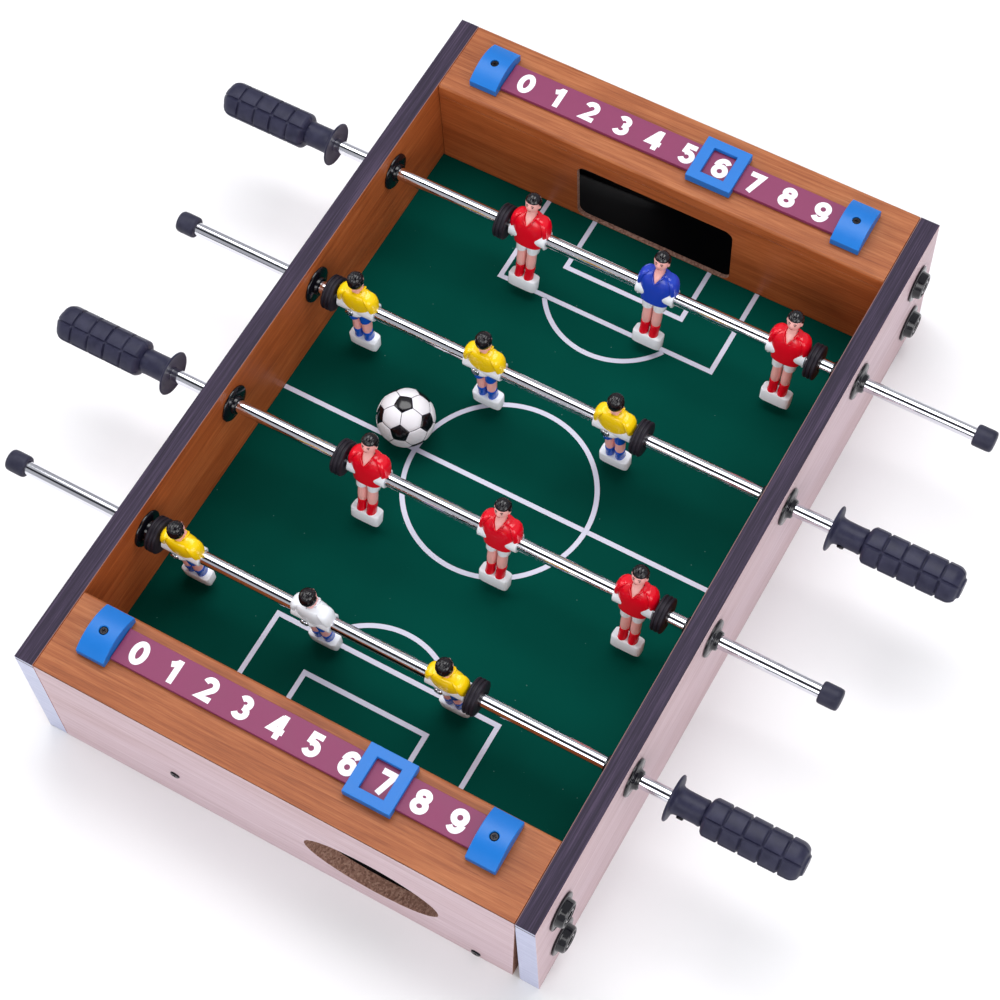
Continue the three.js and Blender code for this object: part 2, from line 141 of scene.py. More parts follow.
def add_floor():
    size = FLOOR_REACH
    mesh = bpy.data.meshes.new("floor")
    corners = [(-size, -size, 0), (size, -size, 0), (size, size, 0), (-size, size, 0)]
    mesh.from_pydata(corners, [], [(0, 1, 2, 3)])
    floor = bpy.data.objects.new("floor", mesh)
    bpy.context.scene.collection.objects.link(floor)
    look = bpy.data.materials.new("floor_paper")
    look.use_nodes = True
    shader = look.node_tree.nodes["Principled BSDF"]
    shader.inputs["Base Color"].default_value = FLOOR_COLOUR
    shader.inputs["Roughness"].default_value = FLOOR_ROUGHNESS
    mesh.materials.append(look)
    floor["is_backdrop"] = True


# Each light's name, place, the point it faces, its size and its power.
LIGHTS = (
    ("overhead", (-0.1, 0.5, 1.5), (0, 0, 0), (1.5, 0.9), 19),
    ("left", (-1.5, -0.3, 1), (0, 0, 0.05), (1, 1), 10),
    ("right", (1.6, -0.6, 0.9), (0, 0, 0.05), (1, 1), 11),
    ("front", (0.2, -1.6, 1.1), (0, 0, 0.05), (1.2, 0.8), 10),
)

add_camera()
add_world()
add_floor()
for light in LIGHTS:
    add_area_light(*light)
bpy.context.scene.view_settings.view_transform = "Standard"

# ---------------------------------------------------------------- materials

def linear(red, green, blue):
    """An sRGB colour of 0 to 255, as the shader's linear colour."""
    def one(value):
        value /= 255
        return value / 12.92 if value <= 0.04045 else ((value + 0.055) / 1.055) ** 2.4
    return (one(red), one(green), one(blue), 1)


class Look:
    """A node material. Its methods add nodes and return their output sockets."""

    def __init__(self, name, colour=(200, 200, 200), **sockets):
        self.material = bpy.data.materials.new(name)
        self.material.use_nodes = True
        self.tree = self.material.node_tree
        self.shader = self.tree.nodes["Principled BSDF"]
        self.shader.inputs["Base Color"].default_value = linear(*colour)
        self.material.diffuse_color = linear(*colour)
        for socket, value in sockets.items():
            self.shader.inputs[socket.replace("_", " ")].default_value = value

    def node(self, kind, inputs=(), output=0, **settings):
        made = self.tree.nodes.new(kind)
        for key, value in settings.items():
            setattr(made, key, value)
        for key, value in dict(inputs).items():
            if isinstance(value, bpy.types.NodeSocket):
                self.tree.links.new(value, made.inputs[key])
            else:
                made.inputs[key].default_value = value
        return made.outputs[output]

    def place(self, scale=(1, 1, 1)):
        """The point on the piece in its own frame, stretched."""
        spot = self.node("ShaderNodeTexCoord", output="Object")
        return self.node("ShaderNodeMapping", {"Vector": spot, "Scale": scale})

    def axis(self, name):
        spot = self.node("ShaderNodeTexCoord", output="Object")
        return self.node("ShaderNodeSeparateXYZ", {"Vector": spot}, output=name)

    def noise(self, scale, detail=4, roughness=0.6, distortion=0):
        return self.node("ShaderNodeTexNoise", {
            "Vector": self.place(scale), "Scale": 1, "Detail": detail,
            "Roughness": roughness, "Distortion": distortion}, output="Fac")

    def math(self, operation, a, b=0):
        return self.node("ShaderNodeMath", {0: a, 1: b}, operation=operation)

    def ramp(self, factor, *stops):
        """stops are (position, sRGB colour)."""
        made = self.tree.nodes.new("ShaderNodeValToRGB")
        elements = made.color_ramp.elements
        while len(elements) < len(stops):
            elements.new(1)
        for element, (position, colour) in zip(elements, stops):
            element.position = position
            element.color = linear(*colour)
        self.tree.links.new(factor, made.inputs["Fac"])
        return made.outputs["Color"]

    def mix(self, factor, a, b, blend="MIX"):
        made = self.tree.nodes.new("ShaderNodeMix")
        made.data_type = "RGBA"
        made.blend_type = blend
        for socket, value in (("Factor", factor), ("A", a), ("B", b)):
            target = next(i for i in made.inputs if i.name == socket
                          and i.type == ("VALUE" if socket == "Factor" else "RGBA"))
            if isinstance(value, bpy.types.NodeSocket):
                self.tree.links.new(value, target)
            else:
                target.default_value = value
        return next(o for o in made.outputs if o.type == "RGBA")

    def set(self, socket, value):
        self.tree.links.new(value, self.shader.inputs[socket])
        return self

    def gloss(self, factor, spread, least):
        """A roughness that follows the factor, from least to least plus spread."""
        return self.set("Roughness", self.node(
            "ShaderNodeMath", {0: factor, 1: spread, 2: least}, operation="MULTIPLY_ADD"))

    def bump(self, height, strength, distance):
        normal = self.node("ShaderNodeBump", {
            "Height": height, "Strength": strength, "Distance": distance}, output="Normal")
        return self.set("Normal", normal)


def wood(name, along, dark, mid, light, roughness=0.42):
    """Printed wood foil with fine streaks along one axis."""
    look = Look(name, mid, Roughness=roughness, Specular_IOR_Level=0.25)
    streaks = look.noise([18 if axis == along else 620 for axis in "xyz"], detail=6, roughness=0.7,
                         distortion=0.4)
    cloud = look.noise([7 if axis == along else 60 for axis in "xyz"], detail=3, distortion=1.5)
    pores = look.noise([70 if axis == along else 2600 for axis in "xyz"], detail=2)
    grain = look.math("ADD", look.math("MULTIPLY", streaks, 0.6), look.math("MULTIPLY", cloud, 0.4))
    colour = look.ramp(grain, (0.36, dark), (0.5, mid), (0.64, light))
    speck = look.ramp(pores, (0.3, (150, 150, 150)), (0.46, (255, 255, 255)))
    look.set("Base Color", look.mix(0.35, colour, speck, "MULTIPLY"))
    look.gloss(grain, 0.15, roughness - 0.07)
    return look.bump(grain, 0.25, 0.00025).material


def plastic(name, colour, roughness=0.3, grain=2500, bump=0.06, **sockets):
    """Moulded plastic: a slightly uneven gloss and a fine orange-peel surface."""
    look = Look(name, colour, Roughness=roughness, **sockets)
    peel = look.noise((grain,) * 3, detail=3)
    cloud = look.noise((90,) * 3, detail=3)
    dim = tuple(v * 0.9 for v in linear(*colour)[:3]) + (1,)
    look.set("Base Color", look.mix(cloud, dim, linear(*colour)))
    look.gloss(cloud, 0.12, roughness - 0.06)
    return look.bump(peel, bump, 0.0002).material


STRIP_LINE_X = 0.14855
# The heights of the painted shade line just under the top lip of the boards' end edging.
EDGING_SHADE_Z = (0.0945, 0.0962)


def edge_strip():
    """The dark printed strip along a side board's top, with a thin light line at its inner edge."""
    look = Look("dark_edge_strip", (46, 38, 56), Roughness=0.6, Specular_IOR_Level=0.2)
    streaks = look.noise((900, 14, 900), detail=6, roughness=0.75)
    colour = look.ramp(streaks, (0.35, (36, 29, 44)), (0.5, (49, 40, 59)), (0.68, (76, 63, 85)))
    across = look.math("ABSOLUTE", look.axis("X"))
    line = look.math("LESS_THAN", across, STRIP_LINE_X)
    look.set("Base Color", look.mix(line, colour, linear(120, 92, 92)))
    return look.bump(streaks, 0.3, 0.0002).material


def laminate(name, along):
    """Pale printed foil with faint streaks along one axis."""
    look = Look(name, (198, 171, 178), Roughness=0.5, Specular_IOR_Level=0.3)
    streaks = look.noise([16 if axis == along else 420 for axis in "xyz"], detail=6, roughness=0.7,
                         distortion=0.6)
    clouds = look.noise([3 if axis == along else 14 for axis in "xyz"], detail=3)
    fleck = look.ramp(streaks, (0.34, (180, 150, 154)), (0.52, (202, 176, 182)), (0.7, (214, 194, 199)))
    tone = look.ramp(clouds, (0.4, (196, 166, 168)), (0.65, (210, 188, 196)))
    look.set("Base Color", look.mix(0.35, fleck, tone))
    return look.bump(streaks, 0.15, 0.0002).material


def edging():
    """The pale edging on the boards' ends, with a painted shade line under a bright lip at the top."""
    look = Look("lavender_edging", (186, 189, 216), Roughness=0.35)
    height = look.axis("Z")
    streaks = look.noise((60, 60, 900), detail=3)
    base = look.ramp(streaks, (0.35, (176, 180, 208)), (0.65, (194, 197, 222)))
    # Painted shade: a dark line just under the edging's top lip.
    line = look.math("MULTIPLY", look.math("GREATER_THAN", height, EDGING_SHADE_Z[0]),
                     look.math("LESS_THAN", height, EDGING_SHADE_Z[1]))
    look.set("Base Color", look.mix(line, base, linear(70, 60, 80)))
    return look.bump(streaks, 0.1, 0.0002).material


def chipboard():
    look = Look("chipboard", (160, 120, 104), Roughness=0.85)
    flakes = look.node("ShaderNodeTexVoronoi", {"Vector": look.place((900, 900, 2200)), "Scale": 1},
                       output="Color")
    grey = look.node("ShaderNodeRGBToBW", {"Color": flakes})
    colour = look.ramp(grey, (0.1, (122, 84, 70)), (0.5, (152, 112, 96)), (0.9, (180, 142, 124)))
    look.set("Base Color", colour)
    return look.bump(grey, 0.6, 0.0004).material


def pitch_green():
    look = Look("pitch_green", (0, 66, 55), Roughness=0.7, Specular_IOR_Level=0.02)
    cloud = look.noise((6, 6, 6), detail=3)
    weave = look.noise((2200, 2200, 2200), detail=2)
    specks = look.node("ShaderNodeTexVoronoi", {"Vector": look.place((95, 95, 1)), "Scale": 1},
                       output="Distance")
    base = look.ramp(cloud, (0.35, (0, 60, 51)), (0.65, (0, 71, 61)))
    dust = look.math("LESS_THAN", specks, 0.035)
    look.set("Base Color", look.mix(look.math("MULTIPLY", dust, 0.35), base, linear(120, 160, 150)))
    return look.bump(weave, 0.12, 0.0002).material


def chrome():
    look = Look("chrome", (232, 232, 238), Metallic=1, Roughness=0.08)
    scratches = look.noise((40, 3000, 3000), detail=4)
    look.set("Base Color", look.ramp(scratches, (0.3, (214, 215, 224)), (0.6, (240, 240, 245))))
    look.gloss(scratches, 0.1, 0.04)
    return look.material


def rubber(name, colour, roughness=0.6):
    look = Look(name, colour, Roughness=roughness, Specular_IOR_Level=0.25)
    cloud = look.noise((160,) * 3, detail=4)
    grit = look.noise((3800,) * 3, detail=3)
    pale = tuple(min(255, c + 14) for c in colour)
    look.set("Base Color", look.ramp(cloud, (0.35, colour), (0.7, pale)))
    look.gloss(cloud, 0.2, roughness - 0.1)
    return look.bump(grit, 0.2, 0.0002).material


LOOKS = {
    "top_wood": wood("orange_wood_top", "x", (132, 68, 36), (158, 90, 52), (180, 112, 70)),
    "end_wood": wood("orange_wood_end", "x", (152, 74, 34), (176, 92, 46), (194, 110, 62)),
    "side_wood": wood("orange_wood_side", "y", (150, 72, 32), (174, 90, 44), (194, 110, 60)),
    "strip": edge_strip(),
    "laminate": laminate("pale_laminate_end", "x"),
    "laminate_side": laminate("pale_laminate_side", "y"),
    "edging": edging(),
    "chipboard": chipboard(),
    "black_paint": plastic("black_inside", (8, 8, 12), 0.5, Specular_IOR_Level=0.2),
    "pitch": pitch_green(),
    "line": plastic("line_white", (205, 205, 225), 0.45),
    "plum": plastic("plum_strip", (132, 52, 92), 0.45, Specular_IOR_Level=0.3),
    "digit": plastic("digit_white", (246, 244, 250), 0.4),
    "blue": plastic("blue_counter", (18, 112, 198), 0.4, Specular_IOR_Level=0.35),
    "chrome": chrome(),
    "gloss_black": plastic("bushing_black", (16, 15, 22), 0.14),
    "rubber": rubber("grip_rubber", (34, 34, 56), 0.45),
    "bumper": rubber("bumper_rubber", (24, 20, 30), 0.5),
    "cap": rubber("cap_rubber", (36, 36, 54), 0.5),
    "screw": plastic("black_screw", (22, 20, 28), 0.25, Metallic=0.6),
    "steel": plastic("steel_screw", (205, 207, 214), 0.18, Metallic=1),
    "red": plastic("red_paint", (228, 4, 34), 0.18),
    "royal": plastic("royal_paint", (34, 66, 190), 0.2),
    "yellow": plastic("yellow_paint", (255, 214, 8), 0.2),
    "sky": plastic("sky_paint", (20, 84, 200), 0.22),
    "white": plastic("white_moulding", (244, 248, 255), 0.22),
    "skin": plastic("skin_paint", (255, 186, 180), 0.32),
    "hair": plastic("hair_paint", (12, 9, 16), 0.16),
    "lips": plastic("lip_paint", (196, 92, 92), 0.35),
}

# ---------------------------------------------------------------- mesh helpers

class Shape:
    """Points and faces of one piece, added part by part. look names go with the faces."""

    def __init__(self):
        self.points = []
        self.faces = []
        self.looks = []

    def add(self, points, faces, look, turn=None):
        start = len(self.points)
        turn = turn or Matrix.Identity(4)
        self.points += [turn @ Vector(p) for p in points]
        self.faces += [tuple(start + i for i in face) for face in faces]
        self.looks += [look] * len(faces)
        return self

    def join(self, other, turn):
        start = len(self.points)
        self.points += [turn @ p for p in other.points]
        self.faces += [tuple(start + i for i in face) for face in other.faces]
        self.looks += other.looks

    def piece(self, name, body, replaces=(), slot=None, place=None, sharp=35, bevel=0):
        mesh = bpy.data.meshes.new(name)
        mesh.from_pydata([p * MM for p in self.points], [], self.faces)
        used = list(dict.fromkeys(self.looks))
        for look in used:
            mesh.materials.append(LOOKS[look])
        for polygon, look in zip(mesh.polygons, self.looks):
            polygon.material_index = used.index(look)
            polygon.use_smooth = True
        mesh.set_sharp_from_angle(angle=math.radians(sharp))
        mesh.validate()
        return finish_piece(name, mesh, body, replaces, place, bevel)


def finish_piece(name, mesh, body, replaces=(), place=None, bevel=0):
    piece = bpy.data.objects.new(name, mesh)
    bpy.context.scene.collection.objects.link(piece)
    if place:
        piece.matrix_world = place
    if bevel:
        rounding = piece.modifiers.new("rounded_edges", "BEVEL")
        rounding.width = bevel * MM
        rounding.segments = 3
        rounding.limit_method = "ANGLE"
        rounding.angle_limit = math.radians(35)
        rounding.harden_normals = True
    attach(piece, body)
    for node in replaces:
        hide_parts(node)
    return piece


def ring_faces(rings, around, closed=True):
    """Faces between rings of points, each ring following the last."""
    faces = []
    for r in range(rings - 1):
        for i in range(around if closed else around - 1):
            j = (i + 1) % around
            faces.append((r * around + i, r * around + j, (r + 1) * around + j, (r + 1) * around + i))
    return faces


def turned(shape, profile, look, segments=48, turn=None):
    """profile is [along X, radius] points. A first or last radius of 0 closes that end."""
    points = []
    faces = []
    rows = []
    for along, radius in profile:
        if radius == 0:
            rows.append([len(points)] * segments)
            points.append((along, 0, 0))
            continue
        rows.append(list(range(len(points), len(points) + segments)))
        for i in range(segments):
            angle = 2 * math.pi * i / segments
            points.append((along, radius * math.cos(angle), radius * math.sin(angle)))
    for low, high in zip(rows, rows[1:]):
        for i in range(segments):
            j = (i + 1) % segments
            face = [low[i], low[j], high[j], high[i]]
            faces.append(tuple(dict.fromkeys(face)))
    return shape.add(points, [f[::-1] for f in faces], look, turn)


def loft(shape, rings, look, around=20, power=2.0):
    """A closed form through level rings, from the lowest up: (x, y, z, half width, half depth)."""
    points = []
    for x, y, z, wide, deep in rings:
        for i in range(around):
            angle = 2 * math.pi * i / around
            c, s = math.cos(angle), math.sin(angle)
            points.append((x + wide * math.copysign(abs(c) ** (2 / power), c),
                           y + deep * math.copysign(abs(s) ** (2 / power), s), z))
    faces = ring_faces(len(rings), around)
    faces.append(tuple(reversed(range(around))))
    faces.append(tuple((len(rings) - 1) * around + i for i in range(around)))
    return shape.add(points, faces, look)


def ball(shape, centre, size, look, across=20, along=12, swell=None):
    """An ellipsoid. swell(direction) multiplies its radius."""
    points = []
    rows = []
    for r in range(along + 1):
        polar = math.pi * r / along
        count = 1 if r in (0, along) else across
        rows.append([len(points) + (i if count > 1 else 0) for i in range(across)])
        for i in range(count):
            angle = 2 * math.pi * i / across
            unit = Vector((math.sin(polar) * math.cos(angle), math.sin(polar) * math.sin(angle),
                           math.cos(polar)))
            scale = swell(unit) if swell else 1
            points.append([c + s * u * scale for c, s, u in zip(centre, size, unit)])
    faces = []
    for low, high in zip(rows, rows[1:]):
        for i in range(across):
            j = (i + 1) % across
            faces.append(tuple(dict.fromkeys((low[i], high[i], high[j], low[j]))))
    return shape.add(points, faces, look)


def box(shape, low, high, look, turn=None):
    points = [(x, y, z) for x in (low[0], high[0]) for y in (low[1], high[1]) for z in (low[2], high[2])]
    faces = [(0, 1, 3, 2), (4, 6, 7, 5), (0, 4, 5, 1), (2, 3, 7, 6), (0, 2, 6, 4), (1, 5, 7, 3)]
    return shape.add(points, faces, look, turn)


def middle_of(node):
    """The middle of a CAD node's box, in mm."""
    low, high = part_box(node)
    return (low + high) / 2 / MM


def refined(node, look_for, body="table", bevel=0.5):
    """A rounded copy of a CAD node. look_for(centre in mm, normal) names each face's look."""
    form = bmesh.new()
    form.from_mesh(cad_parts[node].data)
    bmesh.ops.remove_doubles(form, verts=form.verts, dist=1e-6)
    bmesh.ops.dissolve_limit(form, angle_limit=math.radians(1), verts=form.verts, edges=form.edges)
    form.normal_update()
    names = []
    for face in form.faces:
        name = look_for(face.calc_center_median() / MM, face.normal)
        if name not in names:
            names.append(name)
        face.material_index = names.index(name)
        face.smooth = True
    mesh = bpy.data.meshes.new(node + "_finish")
    form.to_mesh(mesh)
    form.free()
    for name in names:
        mesh.materials.append(LOOKS[name])
    mesh.set_sharp_from_angle(angle=math.radians(35))
    return finish_piece(node + "_finish", mesh, body, [node], bevel=bevel)


# ---------------------------------------------------------------- case

def side_board_look(side):
    def look(centre, normal):
        if normal.z > 0.7:
            return "strip" if centre.z > 90 else "chipboard"
        if abs(normal.y) > 0.9 and abs(centre.y) > 240:
            return "edging"
        if normal.x * side > 0.7:
            return "laminate_side"
        if normal.x * side < -0.7 and abs(centre.x) < 149:
            return "side_wood"
        return "chipboard"
    return look


def outer_panel_look(centre, normal):
    if abs(normal.y) > 0.9:
        return "laminate" if abs(centre.y) > 240 else "black_paint"
    return "chipboard"


def goal_panel_look(centre, normal):
    if abs(normal.y) > 0.9:
        return "end_wood" if abs(centre.y) < 192 else "black_paint"
    return "chipboard"


def top_board_look(centre, normal):
    return "end_wood" if normal.z < 0.3 else "top_wood"


refined("left_side_board", side_board_look(-1))
refined("right_side_board", side_board_look(1))
refined("pitch_board", lambda centre, normal: "pitch" if normal.z > 0.9 else "chipboard", bevel=0)
for end in ("far", "near"):
    refined(f"{end}_top_board", top_board_look, bevel=0.15)
    refined(f"{end}_outer_panel", outer_panel_look, bevel=0.15)
    refined(f"{end}_goal_panel", goal_panel_look, bevel=0.3)
    refined(f"{end}_ball_tray", lambda centre, normal: "black_paint", bevel=0.4)

# Printed pitch lines, each a thin raised ribbon.
PITCH_TOP = 28
LINE_LOW = PITCH_TOP + 0.02
LINE_HIGH = PITCH_TOP + 0.09
LINE_WIDTH = 3
BIG_BOX = (72.1, 129.2)
SMALL_BOX = (39.6, 153.4)
PITCH_END = 191.1
PITCH_SIDE = 147.8
CENTRE_RADIUS = 57.1
ARC_RADIUS = 48


def ribbon(shape, path, closed=False, width=LINE_WIDTH, heights=(LINE_LOW, LINE_HIGH), look="line"):
    """A flat strip that follows a level path."""
    count = len(path)
    points = []
    for i, (x, y) in enumerate(path):
        before = Vector(path[i - 1] if closed or i else path[i])
        after = Vector(path[(i + 1) % count] if closed or i < count - 1 else path[i])
        here = Vector((x, y))
        out = (here - before).normalized() if (here - before).length else (after - here).normalized()
        onward = (after - here).normalized() if (after - here).length else out
        side = Vector((-(out + onward).y, (out + onward).x)).normalized()
        reach = width / 2 / max(0.5, side.dot(Vector((-out.y, out.x))))
        for sign, height in ((1, heights[0]), (1, heights[1]), (-1, heights[1]), (-1, heights[0])):
            spot = here + side * sign * reach
            points.append((spot.x, spot.y, height))
    faces = []
    for i in range(count if closed else count - 1):
        j = (i + 1) % count
        for k in range(4):
            n = (k + 1) % 4
            faces.append((4 * i + k, 4 * i + n, 4 * j + n, 4 * j + k))
    if not closed:
        faces.append((3, 2, 1, 0))
        last = 4 * (count - 1)
        faces.append((last, last + 1, last + 2, last + 3))
    shape.add(points, faces, look)


def oval(x, y, wide, high, start, end, steps):
    turns = [math.radians(start + (end - start) * i / steps) for i in range(steps + 1)]
    return [(x + wide * math.cos(a), y + high * math.sin(a)) for a in turns]


def arc(x, y, radius, start, end, steps):
    return oval(x, y, radius, radius, start, end, steps)


lines = Shape()
ribbon(lines, arc(0, 0, CENTRE_RADIUS, 0, 360 - 360 / 96, 95), closed=True)
ribbon(lines, [(-PITCH_SIDE, 0), (-CENTRE_RADIUS - 1.4, 0)])
ribbon(lines, [(-CENTRE_RADIUS + 1.4, 0), (CENTRE_RADIUS - 1.4, 0)])
ribbon(lines, [(CENTRE_RADIUS + 1.4, 0), (PITCH_SIDE, 0)])
for sign in (1, -1):
    for half, front in (BIG_BOX, SMALL_BOX):
        ribbon(lines, [(-half, sign * PITCH_END), (-half, sign * front), (half, sign * front),
                       (half, sign * PITCH_END)])
    reach = math.degrees(math.acos((SMALL_BOX[1] - BIG_BOX[1] + 1.5) / ARC_RADIUS))
    middle = -90 * sign
    ribbon(lines, arc(0, sign * SMALL_BOX[1], ARC_RADIUS, middle - reach, middle + reach, 40))
lines.piece("pitch_lines", "table", slot="printed_pitch", sharp=30)

# ---------------------------------------------------------------- screws and bolts

def cross_screw(shape, turn, radius, height, look="screw"):
    """A pan-head screw that stands along +X, with a cross cut as four raised quarters."""
    turned(shape, [(0, radius), (height * 0.45, radius), (height * 0.8, radius * 0.82),
                   (height * 0.8, radius * 0.5), (height * 0.25, radius * 0.4), (height * 0.25, 0)],
           look, 24, turn)
    for quarter in range(4):
        spin = turn @ Matrix.Rotation(math.pi / 2 * quarter, 4, "X")
        low = radius * 0.12
        high = radius * 0.4
        box(shape, (height * 0.1, low, low), (height * 0.8, high, high), look, spin)


def facing(direction, place):
    """A turn that takes +X to the direction, then a move to the place."""
    return Matrix.Translation(place) @ Vector(direction).to_track_quat("X", "Z").to_matrix().to_4x4()


CORNER_BOLT = [(0.1, 0), (0.1, 11.4), (1.2, 11.6), (1.6, 11), (1.6, 8.9), (2.2, 8.4), (5, 8), (5.7, 7.4),
               (5.9, 6.6), (5.2, 5.9), (5.2, 4.6), (5.8, 4.2), (5.8, 3), (3.4, 2.8), (3.4, 0)]
BOLT_Y = 217
BOLT_HEIGHTS = (26, 70)
CASE_HALF_WIDTH = 160
CASE_HALF_LENGTH = 242
PANEL_SCREWS = ((-68, 36), (121, 5))  # to the right of the middle, seen from outside, and up
PANEL_SCREW_DEPTH = 0.3

for side, side_name in ((-1, "left"), (1, "right")):
    for y, end in ((-BOLT_Y, "near"), (BOLT_Y, "far")):
        bolts = Shape()
        for z in BOLT_HEIGHTS:
            place = facing((side, 0, 0), (side * CASE_HALF_WIDTH, y, z))
            turned(bolts, CORNER_BOLT, "gloss_black", 40, place)
        bolts.piece(f"{end}_{side_name}_corner_bolts", "table", slot="black_plastic")

for sign, end in ((1, "far"), (-1, "near")):
    screws = Shape()
    for x, z in PANEL_SCREWS:
        spot = (-sign * x, sign * (CASE_HALF_LENGTH - PANEL_SCREW_DEPTH), z)
        cross_screw(screws, facing((0, sign, 0), spot), radius=3, height=1.6)
    screws.piece(f"{end}_panel_screws", "table", slot="black_plastic")

# ---------------------------------------------------------------- score counters

STRIP_TOP = 100.8
DIGIT_PITCH = 21.85
FIRST_DIGIT_X = -100.3
SCORE_Y = {"far": 216, "near": -209}
DIGIT_STROKE = 3.4
DIGIT_SCALE = 1.11
DIGIT_LIFT = 0.02
DIGIT_THICKNESS = 0.06
BLOCK_SCREW_DEPTH = 2.3  # from the top of the block's arch


def full_oval(x, y, wide, high):
    return oval(x, y, wide, high, 0, 350, 35)


SIX = [oval(0.3, 0.9, 3.3, 4.1, 180, 38, 18), full_oval(0, -1.95, 3, 3)]

# Each digit's strokes, from its middle. A stroke that comes back to its start is a closed one.
DIGITS = [
    [full_oval(0, 0, 3.05, 4.95)],
    [[(0.9, 6.4), (0.9, -6.4)], [(-3, 2.7), (-0.8, 3.6), (0.5, 5)]],
    [oval(0, 2.1, 2.9, 2.85, 165, -35, 18) + [(-2.6, -4.95), (3.9, -4.95)]],
    [oval(-0.1, 2.55, 2.6, 2.4, 150, -90, 18), oval(-0.1, -2.35, 3, 2.6, 90, -155, 18)],
    [[(1.5, 6.4), (1.5, -6.4)], [(0.8, 5.2), (-2.9, -2.1), (4.1, -2.1)]],
    [[(3.2, 4.95), (-1.9, 4.95), (-2.3, 0.1)], oval(-0.1, -1.9, 3, 3, 135, -155, 18)],
    SIX,
    [[(-3.8, 4.95), (2.9, 4.95), (-0.9, -6.4)]],
    [full_oval(0, 2.75, 2.5, 2.2), full_oval(0, -2.2, 3, 2.7)],
    [[(-x, -y) for x, y in stroke] for stroke in SIX],
]


def digit(value, x, y, name):
    """A printed digit. Each of its strokes lies a hair above the last."""
    shape = Shape()
    for i, stroke in enumerate(DIGITS[value]):
        closed = (Vector(stroke[0]) - Vector(stroke[-1])).length < 1
        low = STRIP_TOP + DIGIT_LIFT * (i + 1)
        path = [(x + u * DIGIT_SCALE, y + v * DIGIT_SCALE) for u, v in stroke]
        ribbon(shape, path, closed, DIGIT_STROKE, (low, low + DIGIT_THICKNESS), "digit")
    shape.piece(name, "table", slot="white_plastic", sharp=30)


# The slider's walls, from its middle: its ends, its window, the strip's sides and its own sides.
SLIDER_X = (-14.5, -7.5, 7.5, 14.5)
SLIDER_Y = (-15.5, -10.3, -9.5, 9.5, 10.3, 15.5)
SLIDER_Z = (98.6, 101.1, 104.1)


def slider_filled(i, j, k):
    """Whether a cell of the slider's grid is solid: a lip down each side, and a top with a window."""
    if i not in range(3) or j not in range(5) or k not in range(2):
        return False
    return j in (0, 4) if k == 0 else not (i == 1 and j == 2)


def slider(end):
    """The frame that straddles the strip, as the skin of a grid's solid cells."""
    middle = middle_of(f"{end}_score_slider")
    number = {}
    faces = []
    for i in range(3):
        for j in range(5):
            for k in range(2):
                if not slider_filled(i, j, k):
                    continue
                for axis in range(3):
                    for sign in (0, 1):
                        beyond = [i, j, k]
                        beyond[axis] += 1 if sign else -1
                        if slider_filled(*beyond):
                            continue
                        first, second = (axis + 1) % 3, (axis + 2) % 3
                        face = []
                        for u, v in ((0, 0), (1, 0), (1, 1), (0, 1)):
                            corner = [i, j, k]
                            corner[axis] += sign
                            corner[first] += u
                            corner[second] += v
                            face.append(number.setdefault(tuple(corner), len(number)))
                        faces.append(tuple(face if sign else reversed(face)))
    points = [(middle.x + SLIDER_X[i], middle.y + SLIDER_Y[j], SLIDER_Z[k]) for i, j, k in number]
    frame_shape = Shape().add(points, faces, "blue")
    frame_shape.piece(f"{end}_score_slider_finish", f"{end}_counter", [f"{end}_score_slider"],
                      "blue_plastic", bevel=0.55)


for end, y in SCORE_Y.items():
    refined(f"{end}_score_strip", lambda centre, normal: "plum", bevel=0.35)
    for value in range(10):
        x = FIRST_DIGIT_X + DIGIT_PITCH * value
        digit(value, x, y, f"{end}_digit_{value}")
    for side in ("left", "right"):
        node = f"{end}_score_block_{side}"
        refined(node, lambda centre, normal: "blue", bevel=0.6)
        centre = middle_of(node)
        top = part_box(node)[1].z / MM
        screw = Shape()
        spot = (centre.x, centre.y, top - BLOCK_SCREW_DEPTH)
        cross_screw(screw, facing((0, 0, 1), spot), radius=2.45, height=1.9)
        screw.piece(f"{node}_screw", "table", slot="black_plastic")
    slider(end)

# ---------------------------------------------------------------- rods

ROD_Z = 77.8
RODS = ("red_keeper", "yellow_forward", "red_forward", "yellow_keeper")
BUSHING = [(-10, 4.4), (-10, 5), (-9.6, 5.4), (-8.1, 5.6), (-7.9, 6.4), (-7.6, 11), (-7.1, 11.5),
           (-6.35, 11.5), (-6.35, 7), (6.35, 7), (6.35, 11.5), (7.1, 11.5), (7.6, 11), (7.9, 8.2),
           (8.4, 6.4), (9.4, 5.8), (10.6, 5.5), (11, 5), (11, 4.4), (10, 4.4), (-10, 4.4)]
BUMPER = [(-3.5, 4.4), (-3.5, 9.2), (-3.25, 10.2), (-2.8, 10.7), (-2.2, 10.85), (-1.7, 10.65), (-1.5, 10.15),
          (-1, 10.15), (-0.8, 10.65), (-0.4, 10.85), (0.4, 10.85), (0.8, 10.65), (1, 10.15), (1.5, 10.15),
          (1.7, 10.65), (2.2, 10.85), (2.8, 10.7), (3.25, 10.2), (3.5, 9.2), (3.5, 4.4), (-3.5, 4.4)]
CAP = [(12, 0), (12, 4.6), (11.6, 5.8), (10.8, 6.3), (9, 6.5), (2, 6.5), (1.2, 6.45), (0.4, 6.2), (0, 5.7),
       (0, 4.2), (8.8, 4.2), (8.8, 0)]
GRIP_LENGTH = 78.5
GRIP_START = 19.5
GRIP_ROWS = 5
GRIP_COLUMNS = 6
GRIP_RADIUS = 11.5
DOME_START = 71
NECK_RADIUS = 7.2
SET_SCREW_ALONG = 8
SET_SCREW_SIDE = (-0.94, -0.34)  # its direction along Y and Z
SIDE_BOARD_X = 154
PAD_HEIGHT = 1.2
PAD_FLATNESS = 0.045


